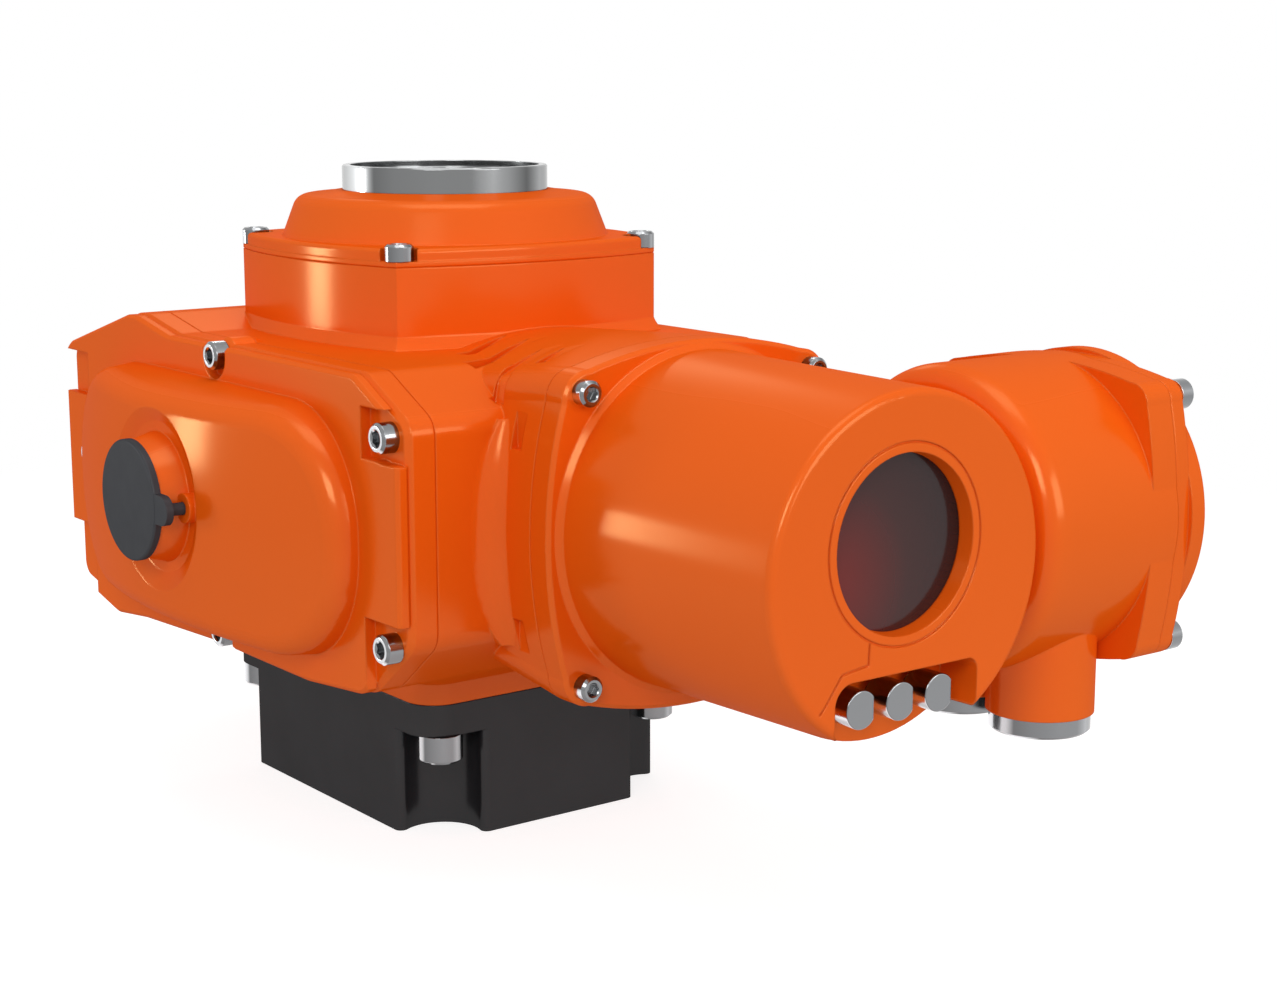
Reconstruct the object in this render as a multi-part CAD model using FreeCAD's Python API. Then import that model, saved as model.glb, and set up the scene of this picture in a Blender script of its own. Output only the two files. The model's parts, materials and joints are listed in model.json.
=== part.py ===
import FreeCAD, Part
import math
import os

# Explosion-proof electric actuator: worm gearbox with a hollow drive sleeve, a motor and spur
# train behind the left cover, a display housing in front and a terminal drum on the right.
# Millimetres. Z is up, the display faces -Y, the left cover faces -X. The origin is the centre of
# the base's bottom mounting face, on the drive axis.

# Fits and clearances
running_gap = 0.05
face_gap = 0.3
hole_play = 0.25

# Cap screws: shank diameter, head diameter, head height, hexagon across flats
m5 = (5.0, 8.6, 5.0, 4.0)
m6 = (6.0, 10.2, 6.0, 5.0)
m10 = (10.0, 16.0, 10.0, 8.0)
screw_edge = 0.6

# Thrust base
base_length_x = 115.6
base_length_y = 145.6
base_height = 50.2
base_flange = 11.8
base_corner = 12.0
base_scoop = 14.5
base_rib_edge = 2.5
base_screw_in_x = 10.4
base_screw_in_y = 6.9
base_screw_reach = 23.0
valve_pitch_circle = 102.0
valve_bolt_count = 4
valve_hole_radius = 4.25
valve_hole_depth = 16.0
spigot_radius = 35.0
spigot_depth = 4.0

# Gear housing. Its underside stands on a flared foot, the gear train's axis lies above that, and
# heights on the side outline are measured from the underside or from that axis.
housing_left = -84.3
housing_right = 72.0
foot_plate = 7.5
foot_rise = 6.8
foot_flare_x = 12.0
foot_flare_y = 19.0
foot_overlap = 3.7
near_end = 125.0
far_end = 129.5
top_above = 52.3
near_top_flat = 98.0
near_shoulder = 38.5
far_shoulder = 40.5
near_waist = 23.5
near_keel_y = 100.0
near_keel = 3.5
level_start = -62.0
level_end = 10.0
far_keel_start = 65.0
far_keel_drop = 2.5
far_keel_y = 90.6
far_keel = 5.2
far_waist = 3.5
hump_above = 57.3
hump_start = 36.0
hump_peak = 62.0
hump_far = 70.0
lobe_radius = 6.2
lobe_length = 9.0
end_edge = 6.0
seam_edge = 0.4

# Tower and its cover
tower_corner = 56.0
tower_face = 65.0
tower_above = 80.8
tower_root = 38.0
tower_foot_flare = ((-2.0, -3.4), (0.8, -1.6), (3.0, -0.5), (6.0, 0.3))
cover_flange = 2.0
cover_rim = 4.4
cover_rim_inset = 0.3
cover_dome_base = 62.7
cover_dome_top = 55.2
cover_dome_height = 15.3
cover_dome_edge = 6.0
crown_radius = 49.0
crown_top = 40.0
crown_height = 1.4
tower_screw = 52.4
tower_screw_reach = 20.0
tower_pocket = 6.6

# Steel stem ring
ring_radius = 38.4
ring_height = 19.6
ring_above = 10.6
ring_wall = 3.0
ring_recess = 2.5
ring_bore = 28.5
ring_pitch_circle = 64.0
ring_hole_radius = 2.6
ring_hole_count = 8
ring_hole_depth = 12.0
ring_edge = 0.5

# Drive sleeve
sleeve_radius = 27.0
sleeve_bore = 20.0
sleeve_start = 5.0
sleeve_below_ring = 6.6
collar_radius = 31.0
lower_collar = 14.0
upper_collar = 9.0
lower_bearing_width = 18.0
lower_bearing_radius = 42.0
upper_bearing_width = 12.0
upper_bearing_radius = 40.0
shaft_room = 5.0
seal_radius = 34.0
seal_width = 9.0
bush_bore = 16.0
bush_height = 45.0
bush_key = 10.0
bush_key_depth = 3.3
magnet_above = 37.5
magnet_width = 6.0
magnet_radius = 33.0

# Worm drive
worm_distance = 48.0
worm_module = 2.0
wheel_teeth = 36
wheel_width = 12.0
wheel_hub = 22.0
wheel_hub_radius = 32.0
thread_share = 0.37
thread_turns = 6
thread_tip = 0.9
thread_root = 1.15
worm_shaft_radius = 8.0
worm_tunnel = 17.0
worm_end = 50.0
worm_bearing_width = 10.0
wheel_room = 3.0

# Spur train behind the left cover
spur_module = 1.5
worm_gear_teeth = 40
hand_gear_teeth = 24
idler_teeth = 30
pinion_teeth = 14
spur_width = 10.0
spur_gap = 4.0
spur_play = 0.3
idler_pin_radius = 6.0
idler_pin_depth = 14.0

# Motor
motor_radius = 25.0
motor_length = 92.0
motor_shaft_radius = 6.0
rotor_radius = 15.0
rotor_length = 66.0
stator_gap = 0.6
end_shield = 7.0
motor_inset = 10.0

# Left cover
flange_thick = 10.5
rim_thick = 4.0
rim_inset = 0.4
flange_edge = 2.0
rim_edge = 1.2
dome_half = 101.0
dome_above_bottom = 9.5
dome_below = 48.5
dome_above = 40.5
dome_corner = 42.0
dome_front = 40.7
dome_crown = 281.0
dome_draft = 2.5
dome_edge = 9.0
dome_wall = 8.0
dome_end_wall = 14.0
gear_room = 19.0
dish_radius = 38.5
dish_floor_radius = 27.0
dish_depth = 4.5
boss_foot_radius = 23.5
boss_radius = 20.5
boss_height = 5.0
near_screw_in = 9.5
near_screw_high = 33.5
near_screw_low = -35.4
top_screw_y = -1.5
top_screw_in = 3.9
low_screw_in = 5.1
far_screw_in = 20.5
far_screw_drop = 1.5
left_screw_reach = 30.0
left_pocket = 8.4
near_pad = (-27.0, 25.5)
far_pad = (-30.5, 21.5)
rim_pad_width = 22.0
rim_pad_gap = 17.0

# Hand drive and its swing cap
spindle_radius = 9.0
spindle_bush = 12.0
spindle_inner = 16.0
crank_socket = 10.0
crank_socket_depth = 14.0
cap_radius = 21.5
cap_thick = 2.8
cap_pin_distance = 25.5
cap_pin_radius = 2.2
cap_pin_length = 11.0
cap_tab = 5.2
pin_boss_radius = 5.2
pin_show = 5.5

# Control housing with the display. The barrel lies a little above the gear train's axis, and the
# flange a little below the barrel's.
control_above = 1.7
flange_drop = 1.6
control_parting = -144.0
control_flange = 10.0
flange_ear = 55.0
flange_bow = 6.5
flange_corner = 10.0
neck_back = -60.0
neck_back_half = 58.0
neck_back_bow = 7.5
neck_back_above = 48.5
neck_back_rise = 8.6
neck_back_below = 42.5
neck_back_corner = 12.0
neck_blend = ((-38.5, 3.0), (-30.0, 7.0), (-17.5, 9.5), (0.0, 10.0), (17.5, 9.5), (29.0, 7.0), (37.0, 3.0))
ear_pocket = (-136.0, -130.5)
ear_pocket_side = 56.5
ear_pocket_end = 50.0
ear_pocket_length = 22.0
neck_bore = 44.0
neck_floor = -96.0
cylinder_root = 56.8
cylinder_tip = 55.0
cylinder_length = 100.2
cylinder_edge = 2.6
cylinder_foot = 2.0
control_bore = 48.5
front_wall = 28.2
control_screw_x = 47.5
control_screw_z = 48.0
control_screw_reach = 22.0
window_x = -1.9
window_above = 8.4
window_radius = 27.2
window_mouth = 27.8
window_depth = 5.6
face_groove = 30.8
groove_half = 0.35
groove_depth = 0.6
glass_radius = 29.5
glass_thick = 6.0
display_bore = 33.0
display_board_radius = 36.0
board_thick = 1.6
screen_half_x = 22.0
screen_half_z = 16.0
screen_depth = 13.0
control_board_radius = 48.0
board_blocks = (
    (-16.0, 12.0, 20.0, 26.0, 22.0),
    (14.0, 18.0, 22.0, 14.0, 14.0),
    (12.0, -14.0, 26.0, 20.0, 18.0),
)

# Groove that leaves the ring groove at the lower left, in X and height from the barrel's axis
jog_groove = ((-16.0, -19.2), (-16.4, -26.2), (-26.8, -27.5), (-33.0, -35.8), (-35.2, -38.1))

# Gill slots on the neck's left shoulder: where each starts in X and Y, its floor's height there
# above the gear train's axis, its length and the floor's height at its end
gill_slots = (
    (-12.0, -68.0, 57.8, 33.0, 47.0),
    (-13.0, -86.0, 59.0, 43.0, 46.0),
    (-18.0, -107.0, 60.2, 36.0, 49.0),
    (-18.0, -117.0, 60.7, 26.0, 52.0),
)
gill_turn = 17.0
gill_width = 5.6
gill_clear = 14.0
long_gill = 2
long_gill_low = 41.0
long_gill_extra = 5.0

# Push buttons below the window, with heights measured down from the barrel's axis
button_below = 40.5
button_pitch = 16.1
button_radius = 6.05
button_flat = 4.6
button_face = 2.7
button_length = 10.0
button_stem = 3.0
button_travel = 3.0
button_clip = 4.2
button_clip_thick = 1.5
recess_left = 29.4
recess_low_left = 26.0
recess_right = 29.2
recess_below = 30.5
recess_knee = 45.2
recess_lip = 49.2

# Terminal drum
drum_y = -200.0
drum_drop = 1.0
drum_radius = 52.3
drum_left = 62.0
drum_edge = 8.0
drum_parting = 123.6
drum_bore = 46.0
drum_partition = 10.0
drum_link = 44.0
wire_passage = 14.0
drum_ear = 46.8
drum_bow = 4.5
drum_ear_corner = 7.0
drum_ear_thick = 11.6
drum_screw = 41.2
drum_screw_reach = 17.0
cover_plate = 7.0
cover_step = 6.2
cover_step_radius = 53.0
cover_bulge_radius = 49.0
cover_bulge = 14.2
cover_spigot = 8.0
cover_inner = 40.0
cover_skin = 2.0

# Terminal block
block_depth = 20.0
block_half_y = 28.0
block_half_z = 11.0
block_below = 23.0
block_ways = 7
block_screw = 2.4
block_screw_depth = 4.0

# Conduit entries
entry_x = 95.5
entry_y = (-219.5, -181.5)
entry_radius = 18.3
entry_below = 65.4
bushing_radius = 17.2
bushing_show = 6.4
bushing_spigot = 14.4
bushing_insert = 12.0
entry_bore = 11.9
entry_passage = 13.2

axes = {"x": FreeCAD.Vector(1, 0, 0), "y": FreeCAD.Vector(0, 1, 0), "z": FreeCAD.Vector(0, 0, 1)}


# Small shape helpers. A centre is the pair of coordinates across the axis, in X, Y, Z order.

def spot(axis, along, u, v):
    if axis == "x":
        return FreeCAD.Vector(along, u, v)
    if axis == "y":
        return FreeCAD.Vector(u, along, v)
    return FreeCAD.Vector(u, v, along)


def rod(axis, centre, radius, start, end):
    low = min(start, end)
    return Part.makeCylinder(radius, abs(end - start), spot(axis, low, *centre), axes[axis])


def taper(axis, centre, radius_start, radius_end, start, end):
    if start > end:
        start, end = end, start
        radius_start, radius_end = radius_end, radius_start
    foot = spot(axis, start, *centre)
    return Part.makeCone(radius_start, radius_end, end - start, foot, axes[axis])


def ring(axis, centre, outer, inner, start, end):
    return rod(axis, centre, outer, start, end).cut(rod(axis, centre, inner, start, end))


def block(x_range, y_range, z_range):
    corner = FreeCAD.Vector(x_range[0], y_range[0], z_range[0])
    return Part.makeBox(x_range[1] - x_range[0], y_range[1] - y_range[0], z_range[1] - z_range[0], corner)


def outline(axis, along, corners):
    # Closed wire through corners given as (u, v, radius of the rounding).
    stops = []
    count = len(corners)
    for i, (u, v, radius) in enumerate(corners):
        here = FreeCAD.Vector(u, v, 0)
        before = FreeCAD.Vector(*corners[i - 1][:2], 0) - here
        after = FreeCAD.Vector(*corners[(i + 1) % count][:2], 0) - here
        half = before.getAngle(after) / 2
        before.normalize()
        after.normalize()
        reach = radius / math.tan(half)
        middle = before + after
        if radius > 0:
            middle.normalize()
        middle = here + middle * (radius / math.sin(half) - radius)
        stops.append((here + before * reach, middle, here + after * reach))
    edges = []
    for i in range(count):
        start, middle, end = (spot(axis, along, p.x, p.y) for p in stops[i])
        onward = stops[(i + 1) % count][0]
        onward = spot(axis, along, onward.x, onward.y)
        if corners[i][2] > 0:
            edges.append(Part.Arc(start, middle, end).toShape())
        edges.append(Part.LineSegment(end, onward).toShape())
    return Part.Wire(edges)


def slab(axis, wire, length):
    return Part.Face(wire).extrude(axes[axis] * length)


def rounded_box(axis, low, high, radius, start, end):
    corners = [(low[0], low[1], radius), (high[0], low[1], radius)]
    corners += [(high[0], high[1], radius), (low[0], high[1], radius)]
    return slab(axis, outline(axis, start, corners), end - start)


def obround(axis, first, second, radius, start, end):
    # Slot shape with round ends about two centres.
    along = FreeCAD.Vector(second[0] - first[0], second[1] - first[1], 0)
    across = FreeCAD.Vector(-along.y, along.x, 0).normalize() * radius
    corners = [
        (place[0] + side * across.x, place[1] + side * across.y, 0)
        for place, side in ((first, -1), (second, -1), (second, 1), (first, 1))
    ]
    middle = slab(axis, outline(axis, min(start, end), corners), abs(end - start))
    return rod(axis, first, radius, start, end).fuse([rod(axis, second, radius, start, end), middle])


def bowed_square(axis, along, centre, half, bow, corner):
    # Square with rounded corners whose sides bulge outwards as arcs.
    mid_corner = half - corner * (1 - math.sqrt(0.5))
    straight = half - corner
    edges = []
    for turn in range(4):
        angle = turn * math.pi / 2

        def place(u, v):
            x = u * math.cos(angle) - v * math.sin(angle)
            y = u * math.sin(angle) + v * math.cos(angle)
            return spot(axis, along, centre[0] + x, centre[1] + y)

        side = Part.Arc(place(half, -straight), place(half + bow, 0), place(half, straight))
        round_end = Part.Arc(place(half, straight), place(mid_corner, mid_corner), place(straight, half))
        edges += [side.toShape(), round_end.toShape()]
    return Part.Wire(edges)


def edged_square(axis, start, end, centre, half, bow, corner, edge):
    # Bowed square plate with a bevelled edge at the far end and a fine one along its seam.
    side = 1 if end > start else -1
    stations = ((start, seam_edge), (start + side * seam_edge, 0), (end - side * edge, 0), (end, edge))
    wires = []
    for along, inset in stations:
        wires.append(bowed_square(axis, along, centre, half - inset, bow, corner - inset / 2))
    return Part.makeLoft(wires, True, True)


def hexagon(axis, centre, across_flats, start, end):
    radius = across_flats / math.sqrt(3)
    corners = []
    for i in range(6):
        angle = math.pi / 6 + i * math.pi / 3
        corners.append((centre[0] + radius * math.cos(angle), centre[1] + radius * math.sin(angle), 0))
    return slab(axis, outline(axis, min(start, end), corners), abs(end - start))


def at_plane(shape, axis, value):
    # Edges that lie in one plane across an axis.
    found = []
    for edge in shape.Edges:
        box = edge.BoundBox
        low = {"x": box.XMin, "y": box.YMin, "z": box.ZMin}[axis]
        high = {"x": box.XMax, "y": box.YMax, "z": box.ZMax}[axis]
        if abs(low - value) < 0.01 and abs(high - value) < 0.01:
            found.append(edge)
    return found


def fused(shapes):
    return shapes[0].fuse(shapes[1:]).removeSplitter()


def cap_screw(axis, side, centre, seat, size, reach):
    # Head on the given side of the seat, shank running the other way.
    shank, head, height, flats = size
    top = seat + side * height
    neck = top - side * screw_edge
    body = rod(axis, centre, head / 2, seat, neck)
    crown = taper(axis, centre, head / 2, head / 2 - screw_edge, neck, top)
    leg = rod(axis, centre, shank / 2, seat - side * reach, seat)
    screw = body.fuse([crown, leg])
    return screw.cut(hexagon(axis, centre, flats, top - side * height / 2, top + side))


def bearing(axis, centre, outer, inner, start, end):
    # Ring bearing with a shallow shield groove on each face.
    low = inner + (outer - inner) * 0.3
    high = outer - (outer - inner) * 0.25
    body = ring(axis, centre, outer, inner, start, end)
    groove = (end - start) * 0.08
    body = body.cut(ring(axis, centre, high, low, start - 1, start + groove))
    return body.cut(ring(axis, centre, high, low, end - groove, end + 1))


# Places worked out from the sizes

drive = (0.0, 0.0)
base_screw_x = base_length_x / 2 - base_screw_in_x
base_screw_y = base_length_y / 2 - base_screw_in_y
plate_top = base_height + foot_plate
housing_bottom = plate_top + foot_rise
dome_low = housing_bottom + dome_above_bottom
train_height = dome_low + dome_below
dome_high = train_height + dome_above
housing_top = train_height + top_above
control_height = train_height + control_above
flange_height = control_height - flange_drop
drum_height = control_height - drum_drop
entry_bottom = drum_height - entry_below
button_height = control_height - button_below
magnet_start = train_height + magnet_above
tower_top = train_height + tower_above
upper_bearing_start = tower_top - upper_bearing_width
parting_top = tower_top + cover_flange
rim_top = parting_top + cover_rim
dome_top = rim_top + cover_dome_height
ring_top = dome_top + ring_above
ring_foot = ring_top - ring_height
sleeve_end = ring_top - sleeve_below_ring
base_seat = base_height - base_flange
lower_bearing_start = base_height - lower_bearing_width
flange_front = housing_left - flange_thick
rim_front = flange_front - rim_thick
dome_tip = housing_left - dome_front
boss_front = dome_tip - boss_height
pin_boss_front = boss_front + pin_show
control_front = control_parting - control_flange
display_face = control_front - cylinder_length
control_axis = (0.0, control_height)
flange_axis = (0.0, flange_height)
window_axis = (window_x, control_height + window_above)
recess_depth = button_face + button_length + button_travel + face_gap
drum_axis = (drum_y, drum_height)
cover_face = drum_parting + cover_plate
worm_pitch = worm_distance - worm_module * wheel_teeth / 2
spur_start = housing_left - spur_gap
spur_end = spur_start - spur_width
spur_radius = spur_module / 2
worm_y = -worm_distance
hand_y = worm_y + spur_radius * (worm_gear_teeth + hand_gear_teeth)
idler_y = hand_y + spur_radius * (hand_gear_teeth + idler_teeth)
motor_y = idler_y + spur_radius * (idler_teeth + pinion_teeth)
hand_axis = (hand_y, train_height)
button_places = [-button_pitch, 0.0, button_pitch]
left_screws = [
    (near_screw_in - near_end, train_height + near_screw_high),
    (near_screw_in - near_end, train_height + near_screw_low),
    (top_screw_y, housing_top - top_screw_in),
    (0.0, housing_bottom + low_screw_in),
    (far_end - far_screw_in, train_height - far_screw_drop),
]


def side_outline(along, inset):
    # Outline of the gear housing and its left cover, seen along X, in (Y, Z).
    near = inset - near_end
    far = far_end - inset
    low = housing_bottom + inset
    top = housing_top - inset
    hump = train_height + hump_above - inset
    corners = [
        (near, low + near_waist, 10),
        (-near_keel_y, low + near_keel, 12),
        (level_start, low, 20),
        (level_end, low, 20),
        (far_keel_start, low - far_keel_drop, 10),
        (far_keel_y, low - far_keel, 12),
        (far, low + far_waist, 8),
        (far, train_height + far_shoulder - inset / 2, 8),
        (hump_far, hump, 9),
        (hump_peak, hump, 6),
        (hump_start, top, 8),
        (-near_top_flat, top, 10),
        (near, train_height + near_shoulder - inset / 2, 8),
    ]
    return outline("x", along, corners)


def tower_outline(height, inset):
    corner = tower_corner - inset
    face = tower_face - inset
    edges = []
    ends = [(-corner, -corner), (corner, -corner), (corner, corner), (-corner, corner)]
    middles = [(0, -face), (face, 0), (0, face), (-face, 0)]
    for i in range(4):
        start = spot("z", height, *ends[i])
        middle = spot("z", height, *middles[i])
        end = spot("z", height, *ends[(i + 1) % 4])
        edges.append(Part.Arc(start, middle, end).toShape())
    return Part.Wire(edges)


def neck_profile(along, half, bow, top, rise, low, corner):
    # Neck section: a flat-sided arch, with the same eight edges at each end of the loft.
    mid = corner * (1 - math.sqrt(0.5))
    left, right = -half, half
    centre = (top + low) / 2
    points = [
        ((left, low + corner), (left - bow, centre), (left, top - corner)),
        ((left, top - corner), (left + mid, top - mid), (left + corner, top)),
        ((left + corner, top), (0, top + rise), (right - corner, top)),
        ((right - corner, top), (right - mid, top - mid), (right, top - corner)),
        ((right, top - corner), (right + bow, centre), (right, low + corner)),
        ((right, low + corner), (right - mid, low + mid), (right - corner, low)),
        ((right - corner, low), (0, low - rise), (left + corner, low)),
        ((left + corner, low), (left + mid, low + mid), (left, low + corner)),
    ]
    edges = [Part.Arc(*(spot("y", along, *p) for p in arc)).toShape() for arc in points]
    return Part.Wire(edges)


def gill_cutter(index):
    # A slanted slot that deepens from the crown to the left. The long one wraps down the shoulder.
    x, y, start, length, end = gill_slots[index]
    top = housing_top + gill_clear
    corners = [(0, train_height + start, 0), (-length, train_height + end, 0)]
    if index == long_gill:
        low = train_height + long_gill_low
        wrapped = [(-length, train_height + end, 4), (-length - 2, low, 0)]
        corners = [corners[0]] + wrapped + [(-length - long_gill_extra, low, 0)]
    corners += [(corners[-1][0], top, 0), (0, top, 0)]
    slot = slab("y", outline("y", -gill_width / 2, corners), gill_width)
    slot.rotate(FreeCAD.Vector(), axes["z"], gill_turn)
    slot.translate(FreeCAD.Vector(x, y, 0))
    return slot


def gear_housing():
    body = slab("x", side_outline(housing_left, 0), housing_right - housing_left)
    body = body.makeFillet(end_edge, at_plane(body, "x", housing_right))
    lobe = taper("x", left_screws[2], lobe_radius, lobe_radius - top_screw_in, housing_left,
                 housing_left + lobe_length)
    tower_foot = train_height - tower_root
    tower = slab("z", tower_outline(tower_foot, 0), tower_top - tower_foot)
    front = neck_profile(control_parting, flange_ear, flange_bow, flange_height + flange_ear,
                         flange_bow, flange_height - flange_ear, flange_corner)
    back = neck_profile(neck_back, neck_back_half, neck_back_bow, train_height + neck_back_above,
                        neck_back_rise, train_height - neck_back_below, neck_back_corner)
    neck = Part.makeLoft([front, back], True, True)
    collar = [tower_outline(housing_top + up, inset) for up, inset in tower_foot_flare]
    collar = Part.makeLoft(collar, True, False)
    blend = neck_corner()
    half_x = base_length_x / 2
    half_y = base_length_y / 2
    plate = rounded_box("z", (-half_x, -half_y), (half_x, half_y), base_corner, base_height, plate_top)
    foot = rounded_wire(half_x, half_y, plate_top)
    flare = rounded_wire(half_x + foot_flare_x, half_y + foot_flare_y, housing_bottom + foot_overlap)
    skirt = Part.makeLoft([foot, flare], True, True)
    body = fused([body, lobe, tower, collar, neck, blend, plate, skirt])
    cutters = [gill_cutter(i) for i in range(len(gill_slots))]
    cutters += ear_pockets()
    cutters += housing_bores()
    body = body.cut(cutters)
    return body.removeSplitter()


def neck_corner():
    # Hollow round in the inside corner between the neck's left side and the near end.
    reach = flange_ear - flange_corner
    bow_radius = (reach ** 2 + flange_bow ** 2) / (2 * flange_bow)
    face = -near_end
    wires = []
    for up, radius in neck_blend:
        side = up ** 2 / (2 * bow_radius) - flange_ear - flange_bow
        near = (side, face - radius)
        far = (side - radius, face)
        middle = (side - radius * (1 - math.sqrt(0.5)), face - radius * (1 - math.sqrt(0.5)))
        stops = [far, (side - radius, face + 3), (side + 4, face + 3), (side + 4, face - radius), near]
        stops = [spot("z", flange_height + up, *stop) for stop in stops]
        edges = [Part.LineSegment(a, b).toShape() for a, b in zip(stops, stops[1:])]
        edges.append(Part.Arc(stops[-1], spot("z", flange_height + up, *middle), stops[0]).toShape())
        wires.append(Part.Wire(edges))
    return Part.makeLoft(wires, True, False)


def ear_pockets():
    # Slim reliefs in the neck's sides behind the four ears of the control flange.
    pockets = []
    for side in (-1, 1):
        x_range = sorted((side * ear_pocket_side, side * (ear_pocket_side + 20)))
        for up in (-1, 1):
            end = flange_height + up * ear_pocket_end
            pockets.append(block(x_range, ear_pocket, sorted((end, end - up * ear_pocket_length))))
    return pockets


def rounded_wire(half_x, half_y, height):
    corners = [(-half_x, -half_y, base_corner), (half_x, -half_y, base_corner)]
    corners += [(half_x, half_y, base_corner), (-half_x, half_y, base_corner)]
    return outline("z", height, corners)


def housing_bores():
    wheel_tip = worm_module * (wheel_teeth / 2 + thread_tip)
    room = wheel_tip + wheel_room
    low = train_height - wheel_hub / 2 - wheel_room
    high = train_height + wheel_hub / 2 + wheel_room
    shaft_bore = collar_radius + shaft_room
    motor_end = housing_left + motor_inset + motor_length
    idler_end = housing_left + idler_pin_depth
    cutters = [
        rod("z", drive, shaft_bore, base_height - 1, tower_top + 1),
        rod("z", drive, upper_bearing_radius, upper_bearing_start, tower_top + 1),
        rod("z", drive, room, low, high),
        rod("x", (worm_y, train_height), worm_tunnel, housing_left - 1, worm_end),
        rod("x", (motor_y, train_height), motor_radius, housing_left - 1, motor_end),
        rod("x", hand_axis, spindle_radius + running_gap, housing_left - 1, housing_left + spindle_inner),
        rod("x", (idler_y, train_height), idler_pin_radius, housing_left - 1, idler_end),
        rod("y", control_axis, neck_bore, control_parting - 1, neck_floor),
        rod("y", control_axis, wire_passage, neck_floor - 1, worm_y - worm_tunnel),
        sensor_space(1.0),
    ]
    for x, y in corner_places(base_screw_x, base_screw_y):
        cutters.append(rod("z", (x, y), m10[0] / 2, base_height - 1, base_seat + base_screw_reach))
    for x, y in corner_places(tower_screw, tower_screw):
        cutters.append(rod("z", (x, y), m6[0] / 2, parting_top - tower_screw_reach, tower_top + 1))
    for y, z in left_screws:
        cutters.append(rod("x", (y, z), m6[0] / 2, housing_left - 1, flange_front + left_screw_reach))
    for place in control_screw_places():
        cutters.append(rod("y", place, m5[0] / 2, control_parting - 1, control_front + control_screw_reach))
    return cutters


def sensor_space(opening):
    # Pocket for the sleeve's position sensor, opening towards the magnet ring.
    inner = magnet_radius + 1.5
    outer = inner + 11.5
    low = magnet_start - 2
    return block((-outer, -inner + opening * 4), (-6, 6), (low, low + magnet_width + 4))


def corner_places(x, y):
    return [(-x, -y), (x, -y), (x, y), (-x, y)]


def thrust_base():
    half_x = base_length_x / 2
    half_y = base_length_y / 2
    lower = rounded_box("z", (-half_x, -half_y), (half_x, half_y), 1.5, 0, base_seat)
    for x, y in corner_places(base_screw_x, base_screw_y):
        lower = lower.cut(rod("z", (x, y), base_scoop, -1, base_seat + 1))
        lower = lower.cut(block(sorted((x, x * 2)), sorted((y, y * 2)), (-1, base_seat + 1)))
    lips = []
    for edge in lower.Edges:
        box = edge.BoundBox
        upright = box.ZLength > base_seat - 1
        on_side = abs(abs(box.Center.x) - half_x) < 0.01 or abs(abs(box.Center.y) - half_y) < 0.01
        if upright and on_side:
            lips.append(edge)
    lower = lower.makeFillet(base_rib_edge, lips)
    upper = rounded_box("z", (-half_x, -half_y), (half_x, half_y), base_corner, base_seat, base_height)
    body = fused([lower, upper])
    cutters = [
        rod("z", drive, spigot_radius, -1, spigot_depth),
        rod("z", drive, seal_radius, -1, spigot_depth + seal_width),
        rod("z", drive, collar_radius + 1, -1, base_height + 1),
        rod("z", drive, lower_bearing_radius, lower_bearing_start, base_height + 1),
    ]
    for i in range(valve_bolt_count):
        angle = math.radians(45 + i * 360 / valve_bolt_count)
        radius = valve_pitch_circle / 2
        place = (radius * math.cos(angle), radius * math.sin(angle))
        cutters.append(rod("z", place, valve_hole_radius, -1, valve_hole_depth))
    for place in corner_places(base_screw_x, base_screw_y):
        cutters.append(rod("z", place, m10[0] / 2 + hole_play, base_seat - 1, base_height + 1))
    return body.cut(cutters)


def top_cover():
    flange = slab("z", tower_outline(tower_top, 0), cover_flange)
    flange = flange.makeChamfer(seam_edge, at_plane(flange, "z", tower_top))
    rim = slab("z", tower_outline(parting_top, cover_rim_inset), cover_rim)
    rim = rim.makeFillet(1.5, at_plane(rim, "z", rim_top))
    pockets = []
    for x, y in corner_places(tower_screw, tower_screw):
        pockets.append(obround("z", (x, y), (x * 1.3, y * 1.3), tower_pocket, parting_top, rim_top + 1))
    rim = rim.cut(pockets)
    dome = taper("z", drive, cover_dome_base, cover_dome_top, parting_top, dome_top)
    dome = dome.makeFillet(cover_dome_edge, at_plane(dome, "z", dome_top))
    crown_end = dome_top + crown_height
    crown = taper("z", drive, crown_radius, crown_top, dome_top, crown_end)
    body = fused([flange, rim, dome, crown])
    cutters = [
        rod("z", drive, ring_radius, ring_foot, crown_end + 1),
        rod("z", drive, collar_radius + 1, tower_top - 1, crown_end + 1),
    ]
    for place in corner_places(tower_screw, tower_screw):
        cutters.append(rod("z", place, m6[0] / 2 + hole_play, tower_top - 1, parting_top + 1))
    return body.cut(cutters)


def stem_ring():
    body = rod("z", drive, ring_radius, ring_foot, ring_top)
    body = body.makeChamfer(ring_edge, at_plane(body, "z", ring_top))
    cutters = [
        rod("z", drive, ring_bore, ring_foot - 1, ring_top + 1),
        rod("z", drive, ring_radius - ring_wall, ring_top - ring_recess, ring_top + 1),
    ]
    floor = ring_top - ring_recess
    for i in range(ring_hole_count):
        angle = math.radians(22.5 + i * 360 / ring_hole_count)
        radius = ring_pitch_circle / 2
        place = (radius * math.cos(angle), radius * math.sin(angle))
        cutters.append(rod("z", place, ring_hole_radius, floor - ring_hole_depth, floor + 1))
    return body.cut(cutters)


def drive_sleeve():
    collar_end = upper_bearing_start
    body = fused([
        rod("z", drive, sleeve_radius, sleeve_start, sleeve_end),
        rod("z", drive, collar_radius, base_height, base_height + lower_collar),
        rod("z", drive, collar_radius, collar_end - upper_collar, collar_end),
    ])
    return body.cut(rod("z", drive, sleeve_bore, sleeve_start - 1, sleeve_end + 1))


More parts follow.
